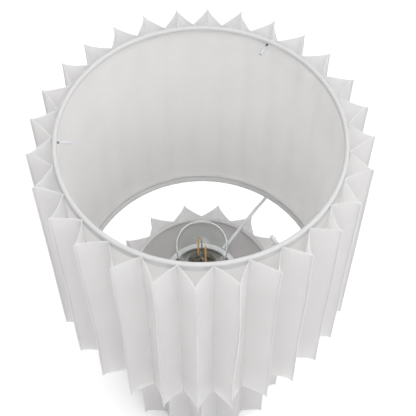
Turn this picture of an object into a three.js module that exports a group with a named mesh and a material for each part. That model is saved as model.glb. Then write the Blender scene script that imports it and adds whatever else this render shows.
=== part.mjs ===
// A table lamp in two pleated tiers: a wide drum shade over a narrow pleated drum that hides the stand.
// Millimetres, +Z up, origin on the ground at the middle of the foot.
import * as THREE from "three";

// ---------- clearances ----------
const FIT = 0.3;             // between pieces that touch
const WRAP = 0.15;           // between a wire or liner and the cloth rolled over it

// ---------- cloth, liner and wire ----------
const CLOTH = 0.6;           // pleated cloth with its backing
const TAPE = 0.5;            // edge binding
const LINER = 0.6;           // cloth on a stiff film
const RING_WIRE = 2.6;       // edge ring wire, diameter
const TAPE_OUTSIDE = 8;      // how far the binding reaches down the outside
const TAPE_INSIDE = 6.5;     // how far it reaches down the inside
const PLEAT_CURVE = 1.25;    // 1 is a straight panel, more is a hollow one
const TUCK = 2.4;            // stitched ridge along each pleat
const EDGE_SOFT = TAPE + RING_WIRE / 3;   // how far the binding's corners are rounded off

// ---------- the two drums ----------
const GROUND_GAP = 8;        // lower drum above the ground
const LOWER = { inner: 79.2, height: 248, pleats: 15, depth: 20.3, turn: 6.6 };
const UPPER = { inner: 136.6, height: 280, pleats: 28, depth: 24.5, turn: 10.1 };

// ---------- shade spider and support pegs ----------
const ARM_WIRE = 4;
const SPOKES = 3;            // arms on each spider, and pegs under the shade's upper edge
const ARM_TURN = 55;         // first arm, degrees from +X
const ARM_OVER_DRUM = 0.6;   // arms above the lower drum's edge
const ARM_RISE = 5;          // arms above the shade's lower edge
const ARM_JOG = 14;          // length of the bend beside the ring
const HUB_OUTER = 44;
const HUB_INNER = 38;
const HUB_THICK = 2;
const PEG_WIRE = 2;
const PEG_TURN = 61;
const PEG_LENGTH = 13;       // past the inside of the binding
const SLEEVE_WALL = 0.55;
const SLEEVE_LENGTH = 11.5;

// ---------- lampholder ----------
const HOLDER_WALL = 6.5;
const HOLDER_RISE = 26;      // skirt above its shoulder
const HOLDER_BELOW = 19;     // barrel below its shoulder's upper face
const SHOULDER_WIDTH = 3.4;
const SHOULDER_THICK = 3;
const CAP_HEIGHT = 13.4;
const CAP_WALL = 1.6;
const CARRIER_INSET = 0.5;   // carrier inside the hub ring's edge, clear of the arms
const CARRIER_THICK = 2;
const CARRIER_LIP = 3;
const NUT_WALL = 7.1;
const NUT_HEIGHT = 7;
const NUT_RIBS = 16;
const RIB_DEPTH = 0.9;
const SCREW_SHELL = 0.6;
const SCREW_PLAY = 0.5;      // round the bulb's screw cap
const CAP_COVER = 3.4;       // skirt above the bulb's screw cap
const INSERT_THICK = 4.7;
const CONTACT_STRIP = 0.5;

// ---------- bulb ----------
const BULB_RADIUS = 30;
const BULB_LENGTH = 105;
const BULB_GLASS = 1;
const NECK_PLAY = 0.4;       // round the neck, inside the screw cap
const BASE_RADIUS = 13.2;    // screw cap
const BASE_HEIGHT = 27;
const BASE_WALL = 0.5;
const FILAMENT_LENGTH = 39;
const FILAMENT_COUNT = 2;
const FILAMENT_CIRCLE = 6.6;
const FILAMENT_RADIUS = 1;
const FILAMENT_TURN = 128.5;
const FILAMENT_DROP = 6;     // filaments' middle below the widest part of the glass
const BRIDGE_THICK = 0.8;    // wire that joins one end of the filaments
const BRIDGE_WIDTH = 1;

// ---------- stand ----------
const FELT_INSET = 2;
const FELT_THICK = 2;
const PLATE_GAP = 5.2;       // round the plate, inside the lower drum
const PLATE_THICK = 10;
const PLATE_RECESS = 12;     // radius of the nut's recess
const RECESS_DEPTH = 7;
const ROD_RADIUS = 5;
const ROD_BORE = 3.5;
const STEM_RADIUS = 8;
const HEX_RADIUS = 9;
const HEX_HEIGHT = 5.7;
const WASHER_RADIUS = 18;
const WASHER_THICK = 2;
const GLAND_RADIUS = 4;

// ---------- radii that follow ----------
const NECK_RADIUS = BASE_RADIUS - BASE_WALL - NECK_PLAY;
const HOLDER_BORE = BASE_RADIUS + SCREW_PLAY + SCREW_SHELL + FIT;
const HOLDER_RADIUS = HOLDER_BORE + HOLDER_WALL;
const SHOULDER_RADIUS = HOLDER_RADIUS + SHOULDER_WIDTH;
const NUT_RADIUS = HOLDER_RADIUS + FIT + NUT_WALL;
const CARRIER_RADIUS = HUB_OUTER - CARRIER_INSET;
const PLATE_RADIUS = LOWER.inner - PLATE_GAP;
const FELT_RADIUS = PLATE_RADIUS - FELT_INSET;

// ---------- heights that follow ----------
const LOWER_TOP = GROUND_GAP + LOWER.height;
const ARM_LEVEL = LOWER_TOP + ARM_OVER_DRUM + ARM_WIRE / 2;
const UPPER_BOTTOM = ARM_LEVEL - ARM_RISE;
const UPPER_TOP = UPPER_BOTTOM + UPPER.height;
const CARRIER_TOP = ARM_LEVEL - HUB_THICK / 2 - FIT;
const SHOULDER_TOP = CARRIER_TOP - CARRIER_THICK - FIT;
const HOLDER_MOUTH = SHOULDER_TOP + HOLDER_RISE;
const HOLDER_FOOT = SHOULDER_TOP - HOLDER_BELOW;
const HOLDER_BASE = HOLDER_FOOT - FIT - CAP_HEIGHT;
const INSERT_TOP = HOLDER_FOOT + INSERT_THICK;
const BULB_FOOT = HOLDER_MOUTH - CAP_COVER - BASE_HEIGHT;
const BULB_CROWN = BULB_FOOT + BULB_LENGTH;
const PLATE_BOTTOM = FELT_THICK + FIT;
const PLATE_TOP = PLATE_BOTTOM + PLATE_THICK;
const HEX_UPPER = HOLDER_BASE - FIT - HEX_HEIGHT;
const WASHER_BOTTOM = HEX_UPPER - FIT - WASHER_THICK;

// ---------- colours ----------
const finish = (color, roughness, metalness = 0, extra = {}) =>
  new THREE.MeshStandardMaterial({ color, roughness, metalness, ...extra });
const CLOTH_FINISH = finish("#dcdbdb", 0.92);
const LINER_FINISH = finish("#d6d5d3", 0.85);
const TAPE_FINISH = finish("#dadadd", 0.9);
const WIRE_FINISH = finish("#d2d2d4", 0.45, 0.1);
const STEEL_FINISH = finish("#a9abae", 0.35, 0.9);
const CERAMIC_FINISH = finish("#e6e1d6", 0.5);
const BRASS_FINISH = finish("#c9a75a", 0.3, 1);
const CLEAR_FINISH = finish("#eef3f5", 0.05, 0, { transparent: true, opacity: 0.3 });
const FILAMENT_FINISH = finish("#d9a24a", 0.6);
const DARK_FINISH = finish("#26262a", 0.5);
const IRON_FINISH = finish("#3a3b3e", 0.6, 0.4);
const FELT_FINISH = finish("#3c3a38", 0.98);

// ---------- helpers ----------
const lamp = new THREE.Group();
const radians = THREE.MathUtils.degToRad;

function place(parent, name, geometry, material, position = [0, 0, 0]) {
  const mesh = new THREE.Mesh(geometry, material);
  mesh.name = name;
  mesh.position.set(...position);
  parent.add(mesh);
  return mesh;
}

// A solid of revolution about Z. The outline goes once round, or from the axis back to the axis.
function turned(outline, segments = 24) {
  const points = outline.map(([radius, height]) => new THREE.Vector2(radius, height));
  const closesOnItself = outline[0][0] > 0 || outline.at(-1)[0] > 0;
  if (THREE.ShapeUtils.isClockWise(points)) points.reverse();
  if (closesOnItself) points.push(points[0].clone());
  return new THREE.LatheGeometry(points, segments).rotateX(Math.PI / 2);
}

function tube(outer, inner, bottom, top, segments = 24) {
  return turned([[inner, bottom], [outer, bottom], [outer, top], [inner, top]], segments);
}

function disc(radius, bottom, top, segments = 24) {
  return turned([[0, bottom], [radius, bottom], [radius, top], [0, top]], segments);
}

function wire(path, radius, steps, sides = 8) {
  return new THREE.ExtrudeGeometry(new THREE.Shape(regular(sides, radius)), {
    extrudePath: path, steps, curveSegments: 1, bevelEnabled: false,
  });
}

function prism(shape, bottom, top) {
  const solid = new THREE.ExtrudeGeometry(shape, { depth: top - bottom, bevelEnabled: false });
  return solid.translate(0, 0, bottom);
}

function polygon(points) {
  return new THREE.Shape(points.map(([x, y]) => new THREE.Vector2(x, y)));
}

function regular(sides, radius) {
  const corners = [];
  for (let k = 0; k < sides; k += 1) {
    const turn = 2 * Math.PI * k / sides;
    corners.push(new THREE.Vector2(radius * Math.cos(turn), radius * Math.sin(turn)));
  }
  return corners;
}

function withBore(shape, bore, sides = 24) {
  shape.holes.push(new THREE.Path(regular(sides, bore)));
  return shape;
}

// Radii through a drum's rolled edge, from the inside outwards.
function edgeRadii(drum) {
  const wireCentre = drum.inner + TAPE + WRAP + RING_WIRE / 2;
  const linerInner = wireCentre + RING_WIRE / 2 + WRAP;
  const linerOuter = linerInner + LINER;
  const tapeOuter = linerOuter + WRAP + TAPE;
  const valley = tapeOuter + FIT;
  return { wireCentre, linerInner, linerOuter, tapeOuter, valley, tip: valley + drum.depth };
}

// ---------- drums ----------

// One side of one pleat, as [along, across] from the crease at the valley to the ridge.
// side is +1 for the cloth's outer face and -1 for the face towards the liner.
function panel(drum, side) {
  const { valley, tip } = edgeRadii(drum);
  const half = Math.PI / drum.pleats;
  const creaseAlong = valley * Math.cos(half);
  const creaseAcross = valley * Math.sin(half);
  const run = tip - TUCK - creaseAlong;
  const points = [];
  for (const t of [1 / 3, 2 / 3, 1]) {
    const slope = PLEAT_CURVE * creaseAcross * (1 - t) ** (PLEAT_CURVE - 1) / run;
    const offset = side * CLOTH / 2 * Math.hypot(1, slope);
    const across = creaseAcross * (1 - t) ** PLEAT_CURVE + CLOTH / 2 + offset;
    points.push([creaseAlong + run * t, across]);
  }
  if (side < 0) points.at(-1)[1] = 0;
  else points.push([tip, CLOTH]);
  return points;
}

function pleatOutline(drum, side) {
  const { valley } = edgeRadii(drum);
  const half = Math.PI / drum.pleats;
  const crease = side > 0 ? valley + 1.4 * CLOTH : valley;
  const outline = [];
  for (let k = 0; k < drum.pleats; k += 1) {
    const middle = radians(drum.turn) + 2 * half * k;
    const turn = (along, across) => [
      along * Math.cos(middle) - across * Math.sin(middle),
      along * Math.sin(middle) + across * Math.cos(middle),
    ];
    const rising = panel(drum, side);
    const falling = [...rising].reverse().filter(([, across]) => across > 0);
    outline.push([crease * Math.cos(middle - half), crease * Math.sin(middle - half)]);
    outline.push(...rising.map(([along, across]) => turn(along, -across)));
    outline.push(...falling.map(([along, across]) => turn(along, across)));
  }
  return outline;
}

function pleats(drum, bottom) {
  const shape = polygon(pleatOutline(drum, 1));
  shape.holes.push(new THREE.Path(pleatOutline(drum, -1).map(([x, y]) => new THREE.Vector2(x, y))));
  return prism(shape, bottom, bottom + drum.height);
}

// Cloth rolled over the ring wire: down the outside over the liner, and tucked under the wire inside.
// up is +1 at a drum's upper edge and -1 at its lower edge.
function binding(drum, edge, up, segments) {
  const { linerInner, linerOuter, tapeOuter } = edgeRadii(drum);
  const level = (depth) => edge - up * depth;
  return turned([
    [drum.inner, level(TAPE_INSIDE - 2 * TAPE)], [drum.inner, level(EDGE_SOFT)],
    [drum.inner + EDGE_SOFT, level(0)], [tapeOuter - EDGE_SOFT, level(0)], [tapeOuter, level(EDGE_SOFT)],
    [tapeOuter, level(TAPE_OUTSIDE)], [linerOuter + WRAP, level(TAPE_OUTSIDE)],
    [linerOuter + WRAP, level(EDGE_SOFT)], [tapeOuter - EDGE_SOFT, level(TAPE)],
    [drum.inner + EDGE_SOFT, level(TAPE)], [drum.inner + TAPE, level(EDGE_SOFT)],
    [drum.inner + TAPE, level(TAPE_INSIDE - 2 * TAPE)], [linerInner - FIT, level(TAPE_INSIDE - TAPE)],
    [linerInner - FIT, level(TAPE_INSIDE)],
  ], segments);
}

function ringWire(drum, edge, up, segments) {
  const { wireCentre } = edgeRadii(drum);
  const centre = edge - up * (TAPE + WRAP + RING_WIRE / 2);
  const sides = 5;
  const outline = regular(sides, RING_WIRE / 2).map(({ x, y }) => [wireCentre + x, centre + y]);
  return turned(outline, segments);
}

function addDrum(name, drum, bottom) {
  const top = bottom + drum.height;
  const segments = 2 * drum.pleats * Math.ceil(14 / drum.pleats);
  const { linerInner, linerOuter } = edgeRadii(drum);
  const whole = new THREE.Group();
  const liner = tube(linerOuter, linerInner, bottom + EDGE_SOFT + WRAP, top - EDGE_SOFT - WRAP, segments);
  place(whole, `${name}_liner`, liner, LINER_FINISH);
  place(whole, `${name}_pleats`, pleats(drum, bottom), CLOTH_FINISH);
  for (const [edgeName, edge, up] of [["top", top, 1], ["bottom", bottom, -1]]) {
    place(whole, `${name}_${edgeName}_ring`, ringWire(drum, edge, up, segments), WIRE_FINISH);
    place(whole, `${name}_${edgeName}_binding`, binding(drum, edge, up, segments), TAPE_FINISH);
  }
  lamp.add(whole);
}

// ---------- spiders and pegs ----------

// Wires from a drum's ring to a hub, each with one bend that leads from startLevel to endLevel.
function addArms(name, start, startLevel, end, endLevel, bend) {
  const at = (radius, height) => new THREE.Vector3(radius, 0, height);
  for (let k = 0; k < SPOKES; k += 1) {
    const path = new THREE.CurvePath();
    const bendEnd = start - bend;
    path.add(new THREE.CubicBezierCurve3(
      at(start, startLevel), at(start - bend / 2, startLevel),
      at(bendEnd + bend / 2, endLevel), at(bendEnd, endLevel),
    ));
    path.add(new THREE.LineCurve3(at(bendEnd, endLevel), at(end, endLevel)));
    const arm = place(lamp, `${name}_arm_${k + 1}`, wire(path, ARM_WIRE / 2, 9), WIRE_FINISH);
    arm.rotation.z = radians(ARM_TURN + k * 360 / SPOKES);
  }
}

function addShadeSpider() {
  const start = UPPER.inner - FIT;
  addArms("shade", start, UPPER_BOTTOM + ARM_WIRE / 2, HUB_OUTER + FIT, ARM_LEVEL, ARM_JOG);
  const low = ARM_LEVEL - HUB_THICK / 2;
  place(lamp, "shade_hub_ring", tube(HUB_OUTER, HUB_INNER, low, low + HUB_THICK, 32), WIRE_FINISH);
}

function addStandSpider() {
  const start = LOWER.inner - FIT;
  const startLevel = LOWER_TOP - TAPE - ARM_WIRE / 2;
  const level = WASHER_BOTTOM + WASHER_THICK / 2;
  addArms("stand", start, startLevel, WASHER_RADIUS + FIT, level, start - WASHER_RADIUS - 8);
  const washer = tube(WASHER_RADIUS, ROD_RADIUS + FIT, WASHER_BOTTOM, WASHER_BOTTOM + WASHER_THICK);
  place(lamp, "stand_hub_washer", washer, STEEL_FINISH);
}

function addPegs() {
  const { linerInner } = edgeRadii(UPPER);
  const level = UPPER_TOP - TAPE_INSIDE - FIT - PEG_WIRE / 2;
  const inEnd = UPPER.inner - PEG_LENGTH;
  const sleeveInner = PEG_WIRE / 2 + WRAP;
  const sleeveStart = inEnd - FIT;
  for (let k = 0; k < SPOKES; k += 1) {
    const pair = new THREE.Group();
    const lying = (geometry) => geometry.rotateY(Math.PI / 2);
    const pegLength = linerInner - FIT - inEnd;
    const peg = lying(disc(PEG_WIRE / 2, 0, pegLength, 8));
    place(pair, `peg_wire_${k + 1}`, peg, STEEL_FINISH, [inEnd, 0, level]);
    const sleeve = lying(tube(sleeveInner + SLEEVE_WALL, sleeveInner, 0, SLEEVE_LENGTH, 12));
    place(pair, `peg_sleeve_${k + 1}`, sleeve, CLEAR_FINISH, [sleeveStart, 0, level]);
    pair.rotation.z = radians(PEG_TURN + k * 360 / SPOKES);
    lamp.add(pair);
  }
}

// ---------- lampholder ----------

function addHolder() {
  const body = turned([
    [HOLDER_BORE, HOLDER_FOOT], [HOLDER_RADIUS, HOLDER_FOOT], [HOLDER_RADIUS, SHOULDER_TOP - SHOULDER_THICK],
    [SHOULDER_RADIUS, SHOULDER_TOP - SHOULDER_THICK], [SHOULDER_RADIUS, SHOULDER_TOP],
    [HOLDER_RADIUS, SHOULDER_TOP], [HOLDER_RADIUS, HOLDER_MOUTH - 1], [HOLDER_RADIUS - 1, HOLDER_MOUTH],
    [HOLDER_BORE, HOLDER_MOUTH],
  ], 28);
  place(lamp, "holder_body", body, DARK_FINISH);

  const rodHole = ROD_RADIUS + FIT;
  const capTop = HOLDER_FOOT - FIT;
  const capSide = HOLDER_BASE + CAP_HEIGHT / 2;
  const capFloor = HOLDER_BASE + CAP_WALL;
  const cap = turned([
    [rodHole, HOLDER_BASE], [HOLDER_RADIUS * 0.7, HOLDER_BASE],
    [HOLDER_RADIUS, capSide], [HOLDER_RADIUS, capTop],
    [HOLDER_RADIUS - CAP_WALL, capTop], [HOLDER_RADIUS - CAP_WALL, capSide],
    [HOLDER_RADIUS * 0.7 - CAP_WALL / 2, capFloor], [rodHole, capFloor],
  ], 28);
  place(lamp, "holder_cap", cap, DARK_FINISH);

  const shellOuter = HOLDER_BORE - FIT;
  place(lamp, "holder_insert", disc(shellOuter, HOLDER_FOOT, INSERT_TOP), CERAMIC_FINISH);
  const shell = tube(shellOuter, shellOuter - SCREW_SHELL, INSERT_TOP + FIT, HOLDER_MOUTH - 3);
  place(lamp, "holder_screw_shell", shell, BRASS_FINISH);
  place(lamp, "holder_contact", contactStrip(), BRASS_FINISH);
}

// Sprung strip from the insert up to the bulb's end contact.
function contactStrip() {
  const low = INSERT_TOP + FIT;
  const high = BULB_FOOT - FIT;
  const s = CONTACT_STRIP;
  const side = polygon([
    [-6, low], [5, low], [5, low + s], [-4.6, low + s], [-1, high - s], [4, high - s], [4, high], [-1.6, high],
    [-6, low + s],
  ]);
  const width = 6;
  const strip = new THREE.ExtrudeGeometry(side, { depth: width, bevelEnabled: false });
  return strip.rotateX(Math.PI / 2).translate(0, width / 2, 0);
}

function addShadeCarrier() {
  const low = CARRIER_TOP - CARRIER_THICK;
  const hole = HOLDER_RADIUS + FIT;
  const lipOuter = HUB_INNER - 2 * FIT;
  const carrier = turned([
    [hole, low], [CARRIER_RADIUS, low], [CARRIER_RADIUS, CARRIER_TOP], [lipOuter, CARRIER_TOP],
    [lipOuter, CARRIER_TOP + CARRIER_LIP], [lipOuter - CARRIER_THICK, CARRIER_TOP + CARRIER_LIP],
    [lipOuter - CARRIER_THICK, CARRIER_TOP], [hole, CARRIER_TOP],
  ], 32);
  place(lamp, "shade_carrier", carrier, DARK_FINISH);

  const ribbed = [];
  for (let k = 0; k < 4 * NUT_RIBS; k += 1) {
    const radius = k % 4 < 2 ? NUT_RADIUS : NUT_RADIUS - RIB_DEPTH;
    const turn = k * Math.PI / (2 * NUT_RIBS);
    ribbed.push([radius * Math.cos(turn), radius * Math.sin(turn)]);
  }
  const nutLow = CARRIER_TOP + FIT;
  const nut = prism(withBore(polygon(ribbed), hole, 28), nutLow, nutLow + NUT_HEIGHT);
  place(lamp, "holder_ring_nut", nut, DARK_FINISH);
}

// ---------- bulb ----------

// The envelope's outline from the crown down to the neck, drawn in by inset.
function envelope(inset, low) {
  const centre = BULB_CROWN - BULB_RADIUS;
  const radius = BULB_RADIUS - inset;
  const neck = NECK_RADIUS - inset;
  const points = [];
  const sphereEnd = 2 * Math.PI / 3;
  for (let k = 0; k <= 6; k += 1) {
    const turn = sphereEnd * k / 6;
    points.push([radius * Math.sin(turn), centre + radius * Math.cos(turn)]);
  }
  const from = new THREE.Vector2(...points.at(-1));
  const down = new THREE.Vector2(Math.cos(sphereEnd), -Math.sin(sphereEnd));
  const to = new THREE.Vector2(neck, BULB_FOOT + BASE_HEIGHT + 4);
  const pull = (from.y - to.y) / 2;
  const flare = new THREE.CubicBezierCurve(
    from, from.clone().addScaledVector(down, pull), new THREE.Vector2(neck, to.y + pull), to,
  );
  points.push(...flare.getPoints(4).slice(1).map((point) => [point.x, point.y]), [neck, low]);
  return points;
}

function addBulb() {
  const baseTop = BULB_FOOT + BASE_HEIGHT;
  const neckLow = baseTop - 6;
  const glass = turned([...envelope(0, neckLow), ...envelope(BULB_GLASS, neckLow).reverse()], 24);
  place(lamp, "bulb_glass", glass, CLEAR_FINISH);

  const insideBase = BASE_RADIUS - BASE_WALL;
  const crimp = BULB_FOOT + 2;
  const base = turned([
    [7.6, crimp], [8.4, crimp], [BASE_RADIUS, crimp + 3.5], [BASE_RADIUS, baseTop],
    [insideBase, baseTop], [insideBase, crimp + 3.5], [7.6, crimp + BASE_WALL],
  ]);
  place(lamp, "bulb_screw_cap", base, STEEL_FINISH);
  place(lamp, "bulb_insulator", disc(7.2, BULB_FOOT + 1, crimp + 1.5, 24), DARK_FINISH);
  place(lamp, "bulb_end_contact", disc(4.6, BULB_FOOT, BULB_FOOT + 1 - FIT, 20), STEEL_FINISH);

  const middle = BULB_CROWN - BULB_RADIUS - FILAMENT_DROP;
  const filamentLow = middle - FILAMENT_LENGTH / 2;
  const filamentHigh = middle + FILAMENT_LENGTH / 2;
  const bridgeLow = filamentLow - FIT - BRIDGE_THICK;
  const bridgeHigh = filamentHigh + FIT;
  const stemLow = baseTop - 12;
  const mount = turned([
    [0, stemLow], [9, stemLow], [8.5, stemLow + 2], [3.6, stemLow + 9], [2.4, bridgeLow - 4],
    [1.1, bridgeLow - FIT], [0, bridgeLow - FIT],
  ], 20);
  place(lamp, "bulb_stem", mount, CLEAR_FINISH);
  place(lamp, "bulb_support_rod", disc(1, filamentLow, filamentHigh, 10), CLEAR_FINISH);
  const reach = FILAMENT_CIRCLE + FILAMENT_RADIUS;
  const halfWidth = BRIDGE_WIDTH / 2;
  const bar = polygon([[-reach, -halfWidth], [reach, -halfWidth], [reach, halfWidth], [-reach, halfWidth]]);
  for (const [end, low] of [["lower", bridgeLow], ["upper", bridgeHigh]]) {
    const bridge = place(lamp, `filament_bridge_${end}`, prism(bar, low, low + BRIDGE_THICK), STEEL_FINISH);
    bridge.rotation.z = radians(FILAMENT_TURN);
  }
  for (let k = 0; k < FILAMENT_COUNT; k += 1) {
    const turn = radians(FILAMENT_TURN + k * 360 / FILAMENT_COUNT);
    const at = [FILAMENT_CIRCLE * Math.cos(turn), FILAMENT_CIRCLE * Math.sin(turn), 0];
    const rod = disc(FILAMENT_RADIUS, filamentLow, filamentHigh, 8);
    place(lamp, `filament_${k + 1}`, rod, FILAMENT_FINISH, at);
  }
}

// ---------- stand ----------

function addStand() {
  place(lamp, "felt_pad", disc(FELT_RADIUS, 0, FELT_THICK, 36), FELT_FINISH);
  const rodHole = ROD_RADIUS + FIT;
  const recessTop = PLATE_BOTTOM + RECESS_DEPTH;
  const chamfer = 1.5;
  const plate = turned([
    [PLATE_RECESS, PLATE_BOTTOM], [PLATE_RADIUS - chamfer, PLATE_BOTTOM],
    [PLATE_RADIUS, PLATE_BOTTOM + chamfer], [PLATE_RADIUS, PLATE_TOP - chamfer],
    [PLATE_RADIUS - chamfer, PLATE_TOP], [rodHole, PLATE_TOP],
    [rodHole, recessTop], [PLATE_RECESS, recessTop],
  ], 36);
  place(lamp, "base_plate", plate, IRON_FINISH);

  const hexLow = recessTop - FIT - HEX_HEIGHT;
  const hexagon = withBore(new THREE.Shape(regular(6, HEX_RADIUS)), rodHole);
  const nut = (bottom) => prism(hexagon, bottom, bottom + HEX_HEIGHT);
  place(lamp, "base_nut", nut(hexLow), STEEL_FINISH);
  place(lamp, "holder_lock_nut", nut(HEX_UPPER), STEEL_FINISH);
  place(lamp, "tie_rod", tube(ROD_RADIUS, ROD_BORE, hexLow, HOLDER_FOOT - 2, 24), STEEL_FINISH);
  place(lamp, "stem", tube(STEM_RADIUS, rodHole, PLATE_TOP + FIT, WASHER_BOTTOM - FIT, 28), STEEL_FINISH);

  const glandLength = PLATE_GAP - 4 * FIT;
  const gland = tube(GLAND_RADIUS, GLAND_RADIUS / 2, 0, glandLength, 16).rotateX(-Math.PI / 2);
  const glandHeight = (PLATE_BOTTOM + PLATE_TOP) / 2;
  place(lamp, "cord_gland", gland, DARK_FINISH, [0, PLATE_RADIUS + FIT, glandHeight]);
}

addStand();
addDrum("stand", LOWER, GROUND_GAP);
addStandSpider();
addHolder();
addShadeCarrier();
addBulb();
addDrum("shade", UPPER, UPPER_BOTTOM);
addShadeSpider();
addPegs();

export default lamp;
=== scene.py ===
import logging
import math
from contextlib import contextmanager
from dataclasses import dataclass, field
from enum import Enum
from typing import Callable, Iterator, Sequence

import bpy
import numpy as np
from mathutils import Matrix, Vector

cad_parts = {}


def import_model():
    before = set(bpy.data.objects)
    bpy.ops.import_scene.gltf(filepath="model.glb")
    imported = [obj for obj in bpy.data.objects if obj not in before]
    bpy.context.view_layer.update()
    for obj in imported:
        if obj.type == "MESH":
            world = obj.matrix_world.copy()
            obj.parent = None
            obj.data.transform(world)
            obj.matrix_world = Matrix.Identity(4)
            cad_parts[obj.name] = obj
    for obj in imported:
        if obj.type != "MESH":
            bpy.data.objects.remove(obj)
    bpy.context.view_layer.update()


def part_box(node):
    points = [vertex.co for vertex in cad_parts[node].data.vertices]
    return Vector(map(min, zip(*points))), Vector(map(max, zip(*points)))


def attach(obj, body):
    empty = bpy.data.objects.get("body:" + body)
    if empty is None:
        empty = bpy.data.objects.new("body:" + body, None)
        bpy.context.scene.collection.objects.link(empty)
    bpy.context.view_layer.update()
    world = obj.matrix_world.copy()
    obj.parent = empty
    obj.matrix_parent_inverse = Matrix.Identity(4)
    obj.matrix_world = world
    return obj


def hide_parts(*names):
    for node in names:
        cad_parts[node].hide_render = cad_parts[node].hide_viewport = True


# A table lamp in two pleated tiers. The wide drum shade hangs on a wire spider over a clear bulb, and the
# narrow drum below it hides the weighted stand. Metres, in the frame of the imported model.

log = logging.getLogger("pleated_lamp")

MM = 0.001
FULL_TURN = 2 * math.pi
SEED = 1
CLOTH_UV = "cloth_metres"
Point = tuple[float, float, float]
Outline = list[tuple[float, float]]


# ---------------------------------------------------------------- node and colour helpers


def linear(hex_colour: str, alpha: float = 1.0) -> tuple[float, float, float, float]:
    """Turns an sRGB hex colour into linear values.

    Args:
        hex_colour: Six hex digits after a hash.
        alpha: The fourth value.

    Returns:
        Red, green, blue and alpha.
    """
    values = [int(hex_colour[k:k + 2], 16) / 255 for k in (1, 3, 5)]
    red, green, blue = (v / 12.92 if v <= 0.04045 else ((v + 0.055) / 1.055) ** 2.4 for v in values)
    return red, green, blue, alpha


def add_node(tree: bpy.types.NodeTree, kind: str, settings: dict | None = None,
             **inputs: object) -> bpy.types.Node:
    """Adds one node with its settings, values and links.

    Args:
        tree: The node tree that gets it.
        kind: Blender's name for the node type.
        settings: Attributes of the node.
        inputs: Values or output sockets by input name, with underscores for spaces, or i0, i1 for a place.

    Returns:
        The new node.
    """
    node = tree.nodes.new(kind)
    for key, value in (settings or {}).items():
        setattr(node, key, value)
    for key, value in inputs.items():
        place = int(key[1:]) if key[0] == "i" and key[1:].isdigit() else key.replace("_", " ")
        socket = node.inputs[place]
        if isinstance(value, bpy.types.NodeSocket):
            tree.links.new(value, socket)
        else:
            socket.default_value = value
    return node


def new_material(name: str,
                 **shader: object) -> tuple[bpy.types.Material, bpy.types.NodeTree, bpy.types.Node]:
    """Starts a material that holds one principled shader.

    Args:
        name: The finish's real name.
        shader: Values for the shader's own sockets, with underscores for spaces.

    Returns:
        The material, its tree and its shader node.
    """
    material = bpy.data.materials.new(name)
    material.use_nodes = True
    tree = material.node_tree
    tree.nodes.clear()
    principled = add_node(tree, "ShaderNodeBsdfPrincipled", None, **shader)
    add_node(tree, "ShaderNodeOutputMaterial", None, Surface=principled.outputs["BSDF"])
    return material, tree, principled


# ---------------------------------------------------------------- finishes


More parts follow.
